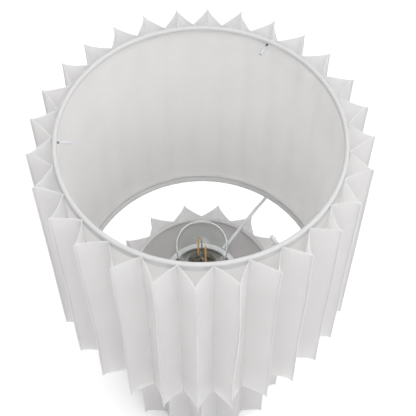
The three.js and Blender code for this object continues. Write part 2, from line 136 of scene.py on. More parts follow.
@dataclass(frozen=True)
class WovenCloth:
    """Plain-woven polycotton: matt, with thread lines, slubs and a faint unevenness of dye.

    Real thread is 0.25 mm apart and too fine to show, so it is drawn at thread_mm.
    """

    name: str
    colour: str
    slub_colour: str
    thread_mm: float = 0.9
    relief_mm: float = 0.05
    slub_mm: float = 7.0
    sheen: float = 0.15
    lets_through: float = 0.74
    weave_share: float = 0.35

    def build(self) -> bpy.types.Material:
        """Makes the material, which follows the cloth's own UV map in metres.

        Returns:
            The material.
        """
        material, tree, shader = new_material(self.name, Roughness=0.93, Sheen_Weight=self.sheen,
                                              Sheen_Roughness=0.5, Specular_IOR_Level=0.2)
        uv = add_node(tree, "ShaderNodeUVMap", {"uv_map": CLOTH_UV}).outputs["UV"]
        band_scale = math.pi / 10 / (self.thread_mm * MM)
        wobble = {"Distortion": 0.6, "Detail": 1.0, "Detail_Scale": 1.0}
        warp, weft = (
            add_node(tree, "ShaderNodeTexWave", {"bands_direction": axis}, Vector=uv,
                     Scale=band_scale, **wobble)
            for axis in "XY"
        )
        weave = add_node(tree, "ShaderNodeMath", {"operation": "MAXIMUM"},
                         i0=warp.outputs["Fac"], i1=weft.outputs["Fac"])
        slubs = []
        for stretch in ((1, 0.12, 1), (0.12, 1, 1)):
            run = add_node(tree, "ShaderNodeMapping", {"vector_type": "POINT"}, Vector=uv, Scale=stretch)
            slubs.append(add_node(tree, "ShaderNodeTexNoise", None, Vector=run.outputs["Vector"],
                                  Scale=8 / (self.slub_mm * MM), Detail=3.0, Roughness=0.6))
        slub = add_node(tree, "ShaderNodeMath", {"operation": "MULTIPLY"},
                        i0=slubs[0].outputs["Fac"], i1=slubs[1].outputs["Fac"])
        cloud = add_node(tree, "ShaderNodeTexNoise", None, Vector=uv, Scale=1 / 0.05, Detail=2.0)
        blend = add_node(tree, "ShaderNodeMath", {"operation": "MULTIPLY_ADD", "use_clamp": True},
                         i0=weave.outputs["Value"], i1=self.weave_share, i2=slub.outputs["Value"])
        tone = add_node(tree, "ShaderNodeMix", {"data_type": "RGBA"}, Factor=blend.outputs["Value"],
                        i6=linear(self.slub_colour), i7=linear(self.colour))
        dye = add_node(tree, "ShaderNodeMapRange", None, Value=cloud.outputs["Fac"],
                       To_Min=0.975, To_Max=1.02)
        dyed = add_node(tree, "ShaderNodeVectorMath", {"operation": "SCALE"},
                        i0=tone.outputs["Result"], Scale=dye.outputs["Result"])
        tree.links.new(dyed.outputs["Vector"], shader.inputs["Base Color"])
        height = add_node(tree, "ShaderNodeMath", {"operation": "ADD"},
                          i0=weave.outputs["Value"], i1=slub.outputs["Value"])
        bump = add_node(tree, "ShaderNodeBump", None, Height=height.outputs["Value"], Strength=0.6,
                        Distance=self.relief_mm * MM)
        tree.links.new(bump.outputs["Normal"], shader.inputs["Normal"])
        through = add_node(tree, "ShaderNodeBsdfTranslucent", None, Color=dyed.outputs["Vector"],
                           Normal=bump.outputs["Normal"])
        both = add_node(tree, "ShaderNodeMixShader", None, Fac=self.lets_through, i1=shader.outputs["BSDF"],
                        i2=through.outputs["BSDF"])
        tree.links.new(both.outputs["Shader"], tree.nodes["Material Output"].inputs["Surface"])
        return material


@dataclass(frozen=True)
class Solid:
    """A hard or pressed finish with a grain: plastic, powder coat, plating, iron, felt or fired clay."""

    name: str
    colour: str
    grain_colour: str
    roughness: float
    grain_mm: float
    relief_mm: float
    metallic: float = 0.0
    uneven: float = 0.08

    def build(self) -> bpy.types.Material:
        """Makes the material on object coordinates.

        Returns:
            The material.
        """
        material, tree, shader = new_material(self.name, Metallic=self.metallic)
        place = add_node(tree, "ShaderNodeTexCoord").outputs["Object"]
        grain = add_node(tree, "ShaderNodeTexNoise", None, Vector=place,
                         Scale=1 / (self.grain_mm * MM), Detail=4.0, Roughness=0.6)
        broad = add_node(tree, "ShaderNodeTexNoise", None, Vector=place, Scale=1 / (25 * MM), Detail=2.0)
        share = add_node(tree, "ShaderNodeMath", {"operation": "MULTIPLY", "use_clamp": True},
                         i0=grain.outputs["Fac"], i1=broad.outputs["Fac"])
        tone = add_node(tree, "ShaderNodeMix", {"data_type": "RGBA"}, Factor=share.outputs["Value"],
                        i6=linear(self.colour), i7=linear(self.grain_colour))
        tree.links.new(tone.outputs["Result"], shader.inputs["Base Color"])
        rough = add_node(tree, "ShaderNodeMapRange", None, Value=grain.outputs["Fac"],
                         To_Min=self.roughness - self.uneven, To_Max=self.roughness + self.uneven)
        tree.links.new(rough.outputs["Result"], shader.inputs["Roughness"])
        bump = add_node(tree, "ShaderNodeBump", None, Height=grain.outputs["Fac"], Strength=0.5,
                        Distance=self.relief_mm * MM)
        tree.links.new(bump.outputs["Normal"], shader.inputs["Normal"])
        return material


@dataclass(frozen=True)
class Clear:
    """A see-through finish: blown soda glass or soft vinyl tube, with faint dust and drawing lines."""

    name: str
    colour: str
    roughness: float
    ior: float
    line_mm: float
    relief_mm: float
    clearness: float = 1.0

    def build(self) -> bpy.types.Material:
        """Makes the material on object coordinates.

        Returns:
            The material.
        """
        material, tree, shader = new_material(self.name, Base_Color=linear(self.colour), IOR=self.ior,
                                              Transmission_Weight=self.clearness)
        place = add_node(tree, "ShaderNodeTexCoord").outputs["Object"]
        lines = add_node(tree, "ShaderNodeTexNoise", None, Vector=place,
                         Scale=1 / (self.line_mm * MM), Detail=2.0)
        rough = add_node(tree, "ShaderNodeMapRange", None, Value=lines.outputs["Fac"],
                         To_Min=self.roughness, To_Max=self.roughness * 2.5)
        tree.links.new(rough.outputs["Result"], shader.inputs["Roughness"])
        bump = add_node(tree, "ShaderNodeBump", None, Height=lines.outputs["Fac"], Strength=0.3,
                        Distance=self.relief_mm * MM)
        tree.links.new(bump.outputs["Normal"], shader.inputs["Normal"])
        return material


class Material(Enum):
    """Every finish on the lamp, with the record's slot that it belongs to."""

    # Pleated polycotton: matt, and so thin that light from behind makes the pleats' channels as
    # bright as their faces.
    PLEAT_CLOTH = ("pleated_cloth", WovenCloth("woven_polycotton_pleated", "#faf9f9", "#f0f0f0"))
    # Cotton glued on stiff film: flatter and finer, and it lets less light through, so the drum's
    # inside is calmer.
    LINER_CLOTH = ("shade_liner", WovenCloth("laminated_cotton_liner", "#faf9f9", "#f2f2f1",
                                             0.8, 0.03, 5.0, 0.1, 0.62))
    # Two layers of cotton over a wire: denser than the pleats, so the roll reads as a soft solid line.
    # Its grey colour is painted shade: darker than the pleats' cloth, to dim the lit top of the roll.
    EDGE_CLOTH = ("edge_tape", WovenCloth("rolled_cotton_edge", "#ebebeb", "#e2e2e2",
                                          0.8, 0.04, 4.0, 0.12, 0.45))
    # Spun polyester thread: a shade darker than the cloth, so the stitches just show.
    THREAD = ("pleated_cloth", Solid("spun_polyester_thread", "#c9c8c6", "#b7b5b2", 0.8, 0.5, 0.05))
    # Powder coat on wire: even and half-gloss, with the faint orange peel of baked powder.
    WHITE_WIRE = ("white_wire", Solid("powder_coated_steel_wire", "#d7d7da", "#c6c6ca", 0.42, 0.8, 0.02))
    # Thin zinc on drawn wire: a darker, blurred metal shine.
    BARE_WIRE = ("zinc_steel", Solid("zinc_plated_steel_wire", "#8f9297", "#6f7277", 0.34, 0.6, 0.01, 1.0))
    # Bright zinc on turned steel: cool and slightly cloudy.
    ZINC = ("zinc_steel", Solid("zinc_plated_steel", "#aeb1b5", "#8f9398", 0.36, 0.9, 0.01, 1.0))
    # Nickel on rolled brass: a warmer and clearer mirror than zinc.
    NICKEL = ("nickel_plate", Solid("nickel_plated_brass", "#b9b4a8", "#9a9588", 0.28, 0.7, 0.01, 1.0))
    # Stamped brass, untouched: yellow, with the dull patches of handling.
    BRASS = ("brass", Solid("stamped_brass", "#c8a457", "#a8853f", 0.32, 0.8, 0.01, 1.0))
    # Extruded soft vinyl: cloudy, so that the wire inside shows only as a shadow.
    SLEEVE = ("clear_sleeve", Clear("clear_vinyl_sleeve", "#f4f5f8", 0.22, 1.3, 1.2, 0.02, 0.55))
    # Blown soda glass: clear, with slow waves, and only a thin bright rim because the wall is thin.
    GLASS = ("bulb_glass", Clear("blown_soda_glass", "#fbfdfc", 0.01, 1.3, 14.0, 0.004))
    # Silicone with phosphor, moulded round a rod: warm amber and waxy.
    AMBER = ("filament_coating", Solid("amber_silicone_coating", "#f0b95e", "#dd9c40", 0.5, 1.2, 0.03))
    # Fused black glass, and as hard a gland: near black and glossy.
    BLACK = ("black_plastic", Solid("black_vitrite", "#222226", "#33333a", 0.3, 1.5, 0.01))
    # Moulded phenolic: brown-grey, with a dull shine and a fine mottle of filler.
    # The brown-grey is partly painted shade: matched to the shadow seen down through the hub ring.
    PHENOLIC = ("black_plastic", Solid("moulded_phenolic", "#67625b", "#767069", 0.32, 0.7, 0.015))
    # Fired steatite: chalky and dry.
    CERAMIC = ("ceramic", Solid("unglazed_steatite", "#e6e1d6", "#d4cdbf", 0.62, 0.5, 0.03))
    # Paint over sand-cast iron: dark, with the pitted skin of the mould.
    IRON = ("cast_iron", Solid("painted_cast_iron", "#333438", "#45464b", 0.55, 1.6, 0.12, 0.0, 0.1))
    # Pressed wool felt: no shine at all and a short tangled nap.
    FELT = ("felt", Solid("pressed_wool_felt", "#3a3836", "#504d4a", 0.97, 0.5, 0.35, 0.0, 0.02))

    @property
    def slot(self) -> str:
        """The record's material slot."""
        return self.value[0]

    def dress(self, piece: bpy.types.Object) -> None:
        """Puts the finish on a piece as its only material.

        Args:
            piece: The piece.
        """
        if self.name not in _made:
            _made[self.name] = self.value[1].build()
        piece.data.materials.clear()
        piece.data.materials.append(_made[self.name])


_made: dict[str, bpy.types.Material] = {}


# ---------------------------------------------------------------- modelling helpers


def select_only(piece: bpy.types.Object) -> None:
    """Makes a piece the only selected and active one.

    Args:
        piece: The piece.
    """
    bpy.ops.object.select_all(action="DESELECT")
    piece.select_set(True)
    bpy.context.view_layer.objects.active = piece


@contextmanager
def editing(piece: bpy.types.Object) -> Iterator[None]:
    """Opens a piece in edit mode with everything selected, and closes it after.

    Args:
        piece: The piece.

    Returns:
        Nothing, while the piece is open.
    """
    select_only(piece)
    bpy.ops.object.mode_set(mode="EDIT")
    bpy.ops.mesh.select_all(action="SELECT")
    yield
    bpy.ops.object.mode_set(mode="OBJECT")


def primitive(name: str, add: Callable[..., object], **settings: object) -> bpy.types.Object:
    """Adds one of Blender's primitives with nothing else selected.

    Args:
        name: The piece's name.
        add: The operator.
        settings: Its size and place.

    Returns:
        The new object, with its place in its mesh.
    """
    bpy.ops.object.select_all(action="DESELECT")
    add(**settings)
    piece = bpy.context.object
    piece.name = name
    piece.data.name = name
    bpy.ops.object.transform_apply(location=True, rotation=True, scale=True)
    return piece


def coordinates(piece: bpy.types.Object) -> np.ndarray:
    """Reads where a piece's vertices are.

    Args:
        piece: The piece.

    Returns:
        One row of x, y and z for each vertex.
    """
    co = np.empty(len(piece.data.vertices) * 3)
    piece.data.vertices.foreach_get("co", co)
    return co.reshape(-1, 3)


def set_coordinates(piece: bpy.types.Object, co: np.ndarray) -> None:
    """Moves a piece's vertices.

    Args:
        piece: The piece.
        co: One row of x, y and z for each vertex.
    """
    piece.data.vertices.foreach_set("co", co.astype(np.float32).ravel())
    piece.data.update()


def drawn_loop(name: str, points: Sequence[Point]) -> bpy.types.Object:
    """Makes a closed loop of edges through the points, starting from a circle.

    Args:
        name: The loop's name.
        points: The points, once round.

    Returns:
        The loop.
    """
    loop = primitive(name, bpy.ops.mesh.primitive_circle_add, vertices=len(points), radius=1.0)
    set_coordinates(loop, np.array(points, float))
    return loop


def smooth(piece: bpy.types.Object, degrees: float = 40) -> bpy.types.Object:
    """Shades a piece smooth, apart from its sharp edges.

    Args:
        piece: The piece.
        degrees: The angle past which an edge is sharp.

    Returns:
        The piece.
    """
    select_only(piece)
    bpy.ops.object.shade_smooth_by_angle(angle=math.radians(degrees))
    return piece


def close_up(piece: bpy.types.Object, merge: float = 1e-6) -> None:
    """Merges doubled points and turns all faces outwards.

    Args:
        piece: The piece.
        merge: How close two points have to be to become one.
    """
    with editing(piece):
        bpy.ops.mesh.remove_doubles(threshold=merge)
        bpy.ops.mesh.normals_make_consistent(inside=False)


def modify(piece: bpy.types.Object, kind: str, **settings: object) -> None:
    """Adds a modifier and applies it.

    Args:
        piece: The piece.
        kind: Blender's name for the modifier type.
        settings: Its settings.
    """
    select_only(piece)
    modifier = piece.modifiers.new(kind.lower(), kind)
    for key, value in settings.items():
        setattr(modifier, key, value)
    bpy.ops.object.modifier_apply(modifier=modifier.name)


def turned(name: str, outline: Outline, steps: int = 96) -> bpy.types.Object:
    """Spins a closed outline about Z into one closed skin.

    Args:
        name: The piece's name.
        outline: Points of radius and height, once round.
        steps: Faces around.

    Returns:
        The piece.
    """
    piece = drawn_loop(name, [(radius, 0.0, height) for radius, height in outline])
    with editing(piece):
        bpy.ops.mesh.spin(steps=steps, angle=FULL_TURN, center=(0, 0, 0), axis=(0, 0, 1))
    close_up(piece)
    return smooth(piece)


def softened(outline: Outline, radius: float, steps: int = 3) -> Outline:
    """Rounds every corner of an outline.

    Args:
        outline: Points once round.
        radius: How far from the corner the rounding starts, less on a short side.
        steps: Points on each rounding, less one.

    Returns:
        The outline with a short curve in place of each corner that is off the axis.
    """
    made: Outline = []
    for k, corner in enumerate(outline):
        here = Vector(corner)
        before, after = (Vector(outline[(k + step) % len(outline)]) for step in (-1, 1))
        if corner[0] < 1e-6:
            made.append(corner)
            continue
        start, end = (
            here + (other - here).normalized() * min(radius, (other - here).length * 0.45)
            for other in (before, after)
        )
        for step in range(steps + 1):
            t = step / steps
            point = start * (1 - t) ** 2 + here * 2 * t * (1 - t) + end * t * t
            made.append((point.x, point.y))
    return made


def bent_wire(name: str, points: Sequence[Point], bends: Sequence[Point], radius: float) -> bpy.types.Object:
    """Draws a round wire along a curve and makes it a closed mesh.

    Args:
        name: The piece's name.
        points: The curve's points.
        bends: The direction of the curve at each point, as long as its handles.
        radius: The wire's radius.

    Returns:
        The wire, with closed ends.
    """
    bpy.ops.object.select_all(action="DESELECT")
    bpy.ops.curve.primitive_bezier_curve_add()
    wire = bpy.context.object
    spline = wire.data.splines[0]
    spline.bezier_points.add(len(points) - len(spline.bezier_points))
    for place, point, bend in zip(spline.bezier_points, points, bends):
        place.handle_left_type = place.handle_right_type = "FREE"
        place.co = point
        place.handle_left = Vector(point) - Vector(bend)
        place.handle_right = Vector(point) + Vector(bend)
    wire.data.bevel_depth = radius
    wire.data.bevel_resolution = 5
    wire.data.resolution_u = 16
    wire.data.use_fill_caps = True
    wire.name = name
    select_only(wire)
    bpy.ops.object.convert(target="MESH")
    piece = bpy.context.object
    piece.name = name
    bpy.ops.object.transform_apply(location=True, rotation=True, scale=True)
    close_up(piece, 1e-5)
    return smooth(piece)


def turned_round(piece: bpy.types.Object, degrees: float) -> bpy.types.Object:
    """Turns a piece's mesh about the lamp's axis.

    Args:
        piece: The piece.
        degrees: How far, from +X towards +Y.

    Returns:
        The piece.
    """
    co = coordinates(piece)
    c, s = math.cos(math.radians(degrees)), math.sin(math.radians(degrees))
    set_coordinates(piece, co @ np.array([[c, s, 0], [-s, c, 0], [0, 0, 1]]))
    return piece


def joined(name: str, pieces: Sequence[bpy.types.Object]) -> bpy.types.Object:
    """Joins pieces into one object.

    Args:
        name: The joined piece's name.
        pieces: The pieces, of which the first is kept.

    Returns:
        The joined piece.
    """
    bpy.ops.object.select_all(action="DESELECT")
    for piece in pieces:
        piece.select_set(True)
    bpy.context.view_layer.objects.active = pieces[0]
    bpy.ops.object.join()
    pieces[0].name = name
    return pieces[0]


def tiled(name: str, seed: bpy.types.Object, places: np.ndarray, frames: np.ndarray) -> bpy.types.Object:
    """Copies one small piece to many places as a single mesh, and removes the one it came from.

    Args:
        name: The new piece's name.
        seed: The piece to copy, around the origin.
        places: One row for each copy.
        frames: For each copy, three rows: where the seed's X, Y and Z point.

    Returns:
        The new piece.
    """
    co = coordinates(seed)
    faces = [list(face.vertices) for face in seed.data.polygons]
    every = (np.einsum("vi,nij->nvj", co, frames) + places[:, None, :]).reshape(-1, 3)
    copies = [[v + n * len(co) for v in face] for n in range(len(places)) for face in faces]
    mesh = bpy.data.meshes.new(name)
    mesh.from_pydata(every.tolist(), [], copies)
    piece = bpy.data.objects.new(name, mesh)
    bpy.context.scene.collection.objects.link(piece)
    bpy.data.objects.remove(seed)
    return smooth(piece)


def radial_reach(node: str) -> tuple[float, float]:
    """Measures a CAD node outwards.

    Args:
        node: The node's name.

    Returns:
        The smallest and the largest distance of its points from the lamp's axis.
    """
    co = np.array([v.co for v in bpy.data.objects[node].data.vertices])
    distance = np.hypot(co[:, 0], co[:, 1])
    return float(distance.min()), float(distance.max())


def span(node: str) -> tuple[float, float]:
    """Measures a CAD node upwards.

    Args:
        node: The node's name.

    Returns:
        Its lowest and its highest level.
    """
    low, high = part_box(node)
    return low.z, high.z


def finish_piece(piece: bpy.types.Object, body: str, finish: Material, *nodes: str) -> bpy.types.Object:
    """Dresses a piece, puts it on its body, and lets it stand for CAD nodes.

    Args:
        piece: The finished mesh.
        body: The CAD body that carries it.
        finish: Its material.
        nodes: The CAD nodes it replaces.

    Returns:
        The piece.
    """
    finish.dress(piece)
    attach(piece, body)
    if nodes:
        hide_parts(*nodes)
    log.info("%s: %d faces, %s", piece.name, len(piece.data.polygons), finish.name.lower())
    return piece


# ---------------------------------------------------------------- pleated drums


class Edge(Enum):
    """A drum's two rolled edges. The value is the way out of the drum along Z."""

    TOP = 1
    BOTTOM = -1


@dataclass
class PleatedDrum:
    """A drum of cloth on stiff film between two wire rings, with one strip of pleated cloth sewn round it."""

    name: str
    pleats: int
    turn: float
    seam_turn: float
    crowding: tuple[tuple[int, float, float], ...] = ()
    cloth: float = 0.38 * MM
    tuck: float = 2.4 * MM
    hollow: float = 1.25
    stitch_pitch: float = 3.2 * MM
    lap_step: float = 0.4 * MM
    lap_width: float = 11 * MM
    tape: float = 0.5 * MM
    wire: float = 1.95 * MM
    turned_in: float = 6.4 * MM
    columns: tuple[float, ...] = (0.05, 0.14, 0.26, 0.4, 0.55, 0.7, 0.82, 0.92, 1.0)
    rng: np.random.Generator = field(init=False)

    def __post_init__(self) -> None:
        """Reads the drum's radii and levels from the frame."""
        self.rng = np.random.default_rng(SEED + self.pleats)
        self.valley, self.tip = radial_reach(f"{self.name}_pleats")
        self.low, self.high = span(f"{self.name}_pleats")
        self.liner_inner, self.liner_outer = radial_reach(f"{self.name}_liner")
        self.edge_inner, self.edge_outer = radial_reach(f"{self.name}_top_binding")
        self.liner_low, self.liner_high = span(f"{self.name}_liner")
        self.lean = np.radians(self.rng.normal(0, 0.4, self.pleats))
        self.sway = np.radians(self.rng.normal(0, 0.45, (self.pleats, 3)))
        self.pull = self.rng.normal(0, 0.45 * MM, self.pleats)
        self.belly = self.rng.normal(0, 0.5 * MM, (self.pleats, 2))

    def crowd(self, azimuth: np.ndarray) -> np.ndarray:
        """Says how far the pleats are pushed round the drum where they were sewn closer together.

        Args:
            azimuth: Directions round the drum, in radians.

        Returns:
            The turn at each direction, in radians.
        """
        push = np.zeros_like(azimuth)
        for waves, degrees, direction in self.crowding:
            push += math.radians(degrees) * np.cos(waves * azimuth - math.radians(direction))
        return push

    @property
    def height(self) -> float:
        """The pleated cloth's height."""
        return self.high - self.low

    def section(self) -> Outline:
        """Draws one pleat on the middle line of the cloth.

        Returns:
            The pleat from crease to crease, as distance along and across it.
        """
        half = math.pi / self.pleats
        crease = self.valley + 0.7 * self.cloth
        along, across = crease * math.cos(half), crease * math.sin(half)
        layer = 0.56 * self.cloth
        ridge = self.tip - self.cloth / 2
        run = self.tip - self.tuck - along
        side = [(along + run * t, across * (1 - t) ** self.hollow + layer * t) for t in self.columns]
        side += [(ridge - self.tuck * 0.45, layer), (ridge - 0.9 * layer, 0.8 * layer)]
        return [(along, -across)] + [(a, -b) for a, b in side] + [(ridge, 0.0)] + side[::-1]

    def plan(self) -> np.ndarray:
        """Repeats the pleat round the drum.

        Returns:
            All the pleats in plan, as rows of x and y.
        """
        section = np.array(self.section())
        rows = []
        for k in range(self.pleats):
            middle = math.radians(self.turn) + FULL_TURN * k / self.pleats
            c, s = math.cos(middle), math.sin(middle)
            rows.append(section @ np.array([[c, s], [-s, c]]))
        return np.concatenate(rows)

    def unevenness(self, co: np.ndarray) -> np.ndarray:
        """Moves points as hand-sewn pleats wander: each leans, sways up its height and is pulled in.

        Args:
            co: Points on the even drum, one to a row.

        Returns:
            The points on the real one.
        """
        pitch = FULL_TURN / self.pleats
        azimuth = np.arctan2(co[:, 1], co[:, 0])
        radius = np.hypot(co[:, 0], co[:, 1])
        k = np.round((azimuth - math.radians(self.turn)) / pitch).astype(int) % self.pleats
        out = np.clip((radius - self.valley) / (self.tip - self.valley), 0, 1)
        height = (co[:, 2] - self.low) / self.height
        turn = self.lean[k] * out
        for mode in range(3):
            turn += self.sway[k, mode] / (mode + 1) * np.sin(math.pi * (mode + 1) * height + k) * out
        middle = 4 * out * (1 - out)
        waves = self.belly[k, 0] * np.sin(4.1 * height + 2 * k) + self.belly[k, 1] * np.sin(9.3 * height + k)
        turn += middle * waves / radius
        azimuth = azimuth + turn + self.crowd(azimuth)
        radius = radius - np.abs(self.pull[k]) * out * (0.4 + 0.6 * np.sin(math.pi * height))
        return np.stack([radius * np.cos(azimuth), radius * np.sin(azimuth), co[:, 2]], axis=1)

    def build_cloth(self) -> bpy.types.Object:
        """Folds the cloth strip into pleats, from a flat ring that is drawn up to its height.

        Returns:
            The pleated strip.
        """
        plan = self.plan()
        count = len(plan)
        piece = drawn_loop(f"{self.name}_pleat_cloth", [(x, y, self.low) for x, y in plan])
        column = piece.data.attributes.new("column", "INT", "POINT")
        column.data.foreach_set("value", np.arange(count, dtype=np.int32))
        rows = round(self.height / (9 * MM))
        with editing(piece):
            for _ in range(rows):
                bpy.ops.mesh.extrude_region_move(
                    TRANSFORM_OT_translate={"value": (0, 0, self.height / rows)})
            bpy.ops.mesh.select_all(action="SELECT")
            bpy.ops.mesh.normals_make_consistent(inside=False)
        steps = np.linalg.norm(np.roll(plan, -1, axis=0) - plan, axis=1)
        along = np.concatenate([[0.0], np.cumsum(steps)])
        self.strip_length = float(along[-1])
        self.lay_cloth_map(piece, along, count)
        set_coordinates(piece, self.unevenness(coordinates(piece)))
        modify(piece, "SOLIDIFY", thickness=self.cloth, offset=0.0, use_even_offset=True)
        piece.data.attributes.remove(piece.data.attributes["column"])
        smooth(piece, 50)
        finish_piece(piece, self.name, Material.PLEAT_CLOTH, f"{self.name}_pleats")
        return piece

    def lay_cloth_map(self, piece: bpy.types.Object, along: np.ndarray, count: int) -> None:
        """Gives the cloth a UV map in metres: along the strip, and up it.

        Args:
            piece: The pleated strip, still even.
            along: The distance along the strip at each column, and its whole length last.
            count: The number of columns.
        """
        mesh = piece.data
        column = np.empty(len(mesh.vertices), np.int32)
        mesh.attributes["column"].data.foreach_get("value", column)
        height = coordinates(piece)[:, 2]
        corner = np.empty(len(mesh.loops), np.int32)
        mesh.loops.foreach_get("vertex_index", corner)
        face = np.repeat(np.arange(len(mesh.polygons)), [len(p.vertices) for p in mesh.polygons])
        last = np.zeros(len(mesh.polygons), bool)
        np.logical_or.at(last, face, column[corner] == count - 1)
        wraps = last[face] & (column[corner] == 0)
        u = np.where(wraps, along[-1], along[column[corner]])
        layer = mesh.uv_layers.new(name=CLOTH_UV)
        layer.data.foreach_set("uv", np.stack([u, height[corner]], axis=1).astype(np.float32).ravel())

    def build_stitches(self) -> None:
        """Sews the ridges, a short stitch at a time, on both sides of each."""
        rows = int(self.height / self.stitch_pitch)
        levels = self.low + (np.arange(rows) + 0.5) * self.height / rows
        half_stitch = self.stitch_pitch * 0.36
        places, frames = [], []
        for k in range(self.pleats):
            middle = math.radians(self.turn) + FULL_TURN * k / self.pleats
            out = np.array([math.cos(middle), math.sin(middle), 0])
            across = np.array([-out[1], out[0], 0])
            for side in (-1, 1):
                for level in levels:
                    places.append(out * (self.tip - self.tuck * 0.62) + across * side * self.cloth * 1.12
                                  + np.array([0, 0, level]))
                    frames.append([out, across * side, (0, 0, 1)])
        thread = primitive("stitch", bpy.ops.mesh.primitive_uv_sphere_add, segments=6, ring_count=4,
                           radius=1.0, scale=(0.28 * MM, 0.16 * MM, half_stitch))
        moved = self.unevenness(np.array(places))
        piece = tiled(f"{self.name}_ridge_stitches", thread, moved, np.array(frames, float))
        finish_piece(piece, self.name, Material.THREAD)

    def build_tacks(self) -> None:
        """Tacks each crease to the rolled edges with a few short stitches across it."""
        places, frames = [], []
        crease_turn = math.pi / self.pleats
        for k in range(self.pleats):
            middle = math.radians(self.turn) + FULL_TURN * k / self.pleats + crease_turn
            out = np.array([math.cos(middle), math.sin(middle), 0])
            across = np.array([-out[1], out[0], 0])
            for edge in Edge:
                start = self.high if edge is Edge.TOP else self.low
                for n in range(3):
                    level = start - edge.value * (2.2 + 1.9 * n) * MM
                    places.append(out * (self.valley + 1.5 * self.cloth) + np.array([0, 0, level]))
                    frames.append([out, across, (0, 0, 1)])
        thread = primitive("tack", bpy.ops.mesh.primitive_uv_sphere_add, segments=8, ring_count=6, radius=1.0,
                           scale=(0.3 * MM, 1.1 * MM, 0.24 * MM))
        moved = self.unevenness(np.array(places))
        piece = tiled(f"{self.name}_crease_tacks", thread, moved, np.array(frames, float))
        finish_piece(piece, self.name, Material.THREAD)

    def between_creases(self, azimuth: np.ndarray) -> np.ndarray:
        """Finds the stretches between creases.

        Args:
            azimuth: Directions round the drum, in radians.

        Returns:
            One halfway between two creases, none at a crease, and smooth waves between.
        """
        return 0.5 + 0.5 * np.cos(self.pleats * (azimuth - self.crowd(azimuth) - math.radians(self.turn)))

    def facets(self, azimuth: np.ndarray) -> np.ndarray:
        """Flattens the liner where the pleats draw it tight between creases.

        Args:
            azimuth: Directions round the drum, in radians.

        Returns:
            How far the liner stands in from its circle.
        """
        return 0.32 * MM * self.between_creases(azimuth)

    def lap(self, azimuth: np.ndarray) -> np.ndarray:
        """Thickens the liner where its two ends are glued over each other.

        Args:
            azimuth: Directions round the drum, in radians.

        Returns:
            How far the inner face stands in.
        """
        away = (azimuth - math.radians(self.seam_turn) + math.pi) % FULL_TURN - math.pi
        return self.lap_step * (np.abs(away) * self.liner_inner < self.lap_width / 2)

    def build_liner(self) -> None:
        """Rolls the liner into a drum, flattened a little between creases, and laps its ends."""
        around = round(FULL_TURN * self.liner_inner / (2 * MM))
        corners = [(self.liner_inner, self.liner_low), (self.liner_outer, self.liner_low),
                   (self.liner_outer, self.liner_high), (self.liner_inner, self.liner_high)]
        piece = turned(f"{self.name}_liner_cloth", corners, around)
        self.drum_map(piece, self.liner_outer)
        co = coordinates(piece)
        azimuth, radius = np.arctan2(co[:, 1], co[:, 0]), np.hypot(co[:, 0], co[:, 1])
        inside = radius < (self.liner_inner + self.liner_outer) / 2
        shift = self.facets(azimuth) + np.where(inside, self.lap(azimuth), 0)
        co[:, :2] *= (1 - shift / radius)[:, None]
        set_coordinates(piece, co)
        finish_piece(piece, self.name, Material.LINER_CLOTH, f"{self.name}_liner")

    def drum_map(self, piece: bpy.types.Object, radius: float) -> None:
        """Gives a drum-shaped piece a UV map in metres: round the drum, and along its outline.

        Args:
            piece: The piece, turned about Z.
            radius: The radius that the distance round is measured at.
        """
        mesh = piece.data
        co = coordinates(piece)
        azimuth = np.arctan2(co[:, 1], co[:, 0])
        slant = co[:, 2] + np.hypot(co[:, 0], co[:, 1])
        layer = mesh.uv_layers.new(name=CLOTH_UV)
        for face in mesh.polygons:
            turns = [azimuth[v] for v in face.vertices]
            wraps = max(turns) - min(turns) > math.pi
            for at, vertex, turn in zip(face.loop_indices, face.vertices, turns):
                whole = turn + FULL_TURN if wraps and turn < 0 else turn
                layer.data[at].uv = (whole * radius, slant[vertex])

    def build_edge(self, edge: Edge) -> None:
        """Rolls the edge cloth over the ring wire, with the puckers of a hand-turned hem.

        Args:
            edge: Which of the drum's edges.
        """
        node = f"{self.name}_{edge.name.lower()}_binding"
        low, high = span(node)
        out = high if edge is Edge.TOP else low
        tape = self.tape
        inner, outer = self.edge_inner, self.edge_outer
        roll = self.wire + tape / 2
        level = [out - edge.value * depth for depth in (roll, high - low)]
        inside_end = out - edge.value * self.turned_in

        def rolled(shift: float) -> Outline:
            """Draws one face of the roll.

            Args:
                shift: How far in from the outside it lies.

            Returns:
                The face from the inside end, over the wire and down the outside.
            """
            bend = roll - shift
            side = [(self.liner_inner - 0.5 * MM - tape + shift, inside_end),
                    (inner + shift, inside_end + edge.value * 2.6 * MM), (inner + shift, level[0])]
            side += [(inner + roll - bend * math.cos(a), level[0] + edge.value * bend * math.sin(a))
                     for a in np.radians(np.arange(15, 91, 15))]
            side += [(outer - roll + bend * math.sin(a), level[0] + edge.value * bend * math.cos(a))
                     for a in np.radians(np.arange(0, 91, 15))]
            drop = np.linspace(level[0], level[1], 5)[1:]
            return side + [(outer - shift, z) for z in drop]

